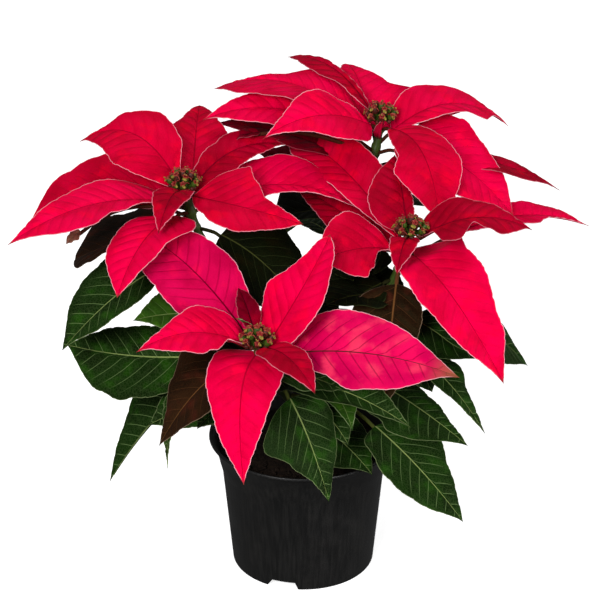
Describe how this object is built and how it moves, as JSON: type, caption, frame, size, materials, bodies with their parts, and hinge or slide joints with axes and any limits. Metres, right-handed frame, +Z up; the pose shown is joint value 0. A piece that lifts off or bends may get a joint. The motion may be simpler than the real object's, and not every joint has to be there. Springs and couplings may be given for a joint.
{
  "type": "potted poinsettia",
  "caption": "Poinsettia in a round nursery pot, with whorls of red bracts round small flower clusters and green leaves below.",
  "frame": {"origin": "middle of the pot's base, on the surface that it stands on", "axes": "+Z up along the pot's axis, -Y to the front, +X to the right as seen from the front"},
  "size_m": [0.3617, 0.2909, 0.3007],
  "materials": {
    "pot": "black moulded plastic, satin, with fine upright flow streaks",
    "soil": "moist peat and bark crumbs, matt",
    "stem": "green shoot, brown and woody near the soil",
    "flower": "small fleshy yellow-green urns with red tops",
    "bract": "thin velvety petal-like leaf, crimson, with a pale edge",
    "leaf": "thin leaf, dark green, with pale veins and a pale edge",
    "leaf_brown": "leaf on its way from green to red, dark brown"
  },
  "bodies": {
    "root": {"pot": "pot", "soil": "soil", "stem": "stem", "cyathia_left": "flower", "cyathia_back": "flower", "cyathia_right": "flower", "cyathia_front": "flower", "bract_left_1": "bract", "bract_left_2": "bract", "bract_left_3": "bract", "bract_left_4": "bract", "bract_left_5": "bract", "bract_left_6": "bract", "bract_left_7": "bract", "bract_left_8": "bract", "bract_left_9": "bract", "bract_back_1": "bract", "bract_back_2": "bract", "bract_back_3": "bract", "bract_back_4": "bract", "bract_back_5": "bract", "bract_back_6": "bract", "bract_back_7": "bract", "bract_back_8": "bract", "bract_back_9": "bract", "bract_right_1": "bract", "bract_right_2": "bract", "bract_right_3": "bract", "bract_right_4": "bract", "bract_right_5": "bract", "bract_right_6": "bract", "bract_right_7": "bract", "bract_right_8": "bract", "bract_front_1": "bract", "bract_front_2": "bract", "bract_front_3": "bract", "bract_front_4": "bract", "bract_front_5": "bract", "bract_front_6": "bract", "bract_front_7": "bract", "leaf_01": "leaf", "leaf_02": "leaf", "leaf_03": "leaf_brown", "leaf_04": "leaf", "leaf_05": "leaf_brown", "leaf_06": "leaf", "leaf_07": "leaf", "leaf_08": "leaf_brown", "leaf_09": "leaf", "leaf_10": "leaf", "leaf_11": "leaf", "leaf_12": "leaf", "leaf_13": "leaf", "leaf_14": "leaf", "leaf_15": "leaf", "leaf_16": "leaf", "leaf_17": "leaf", "leaf_18": "leaf", "leaf_19": "leaf", "leaf_20": "leaf"}
  },
  "joints": []
}
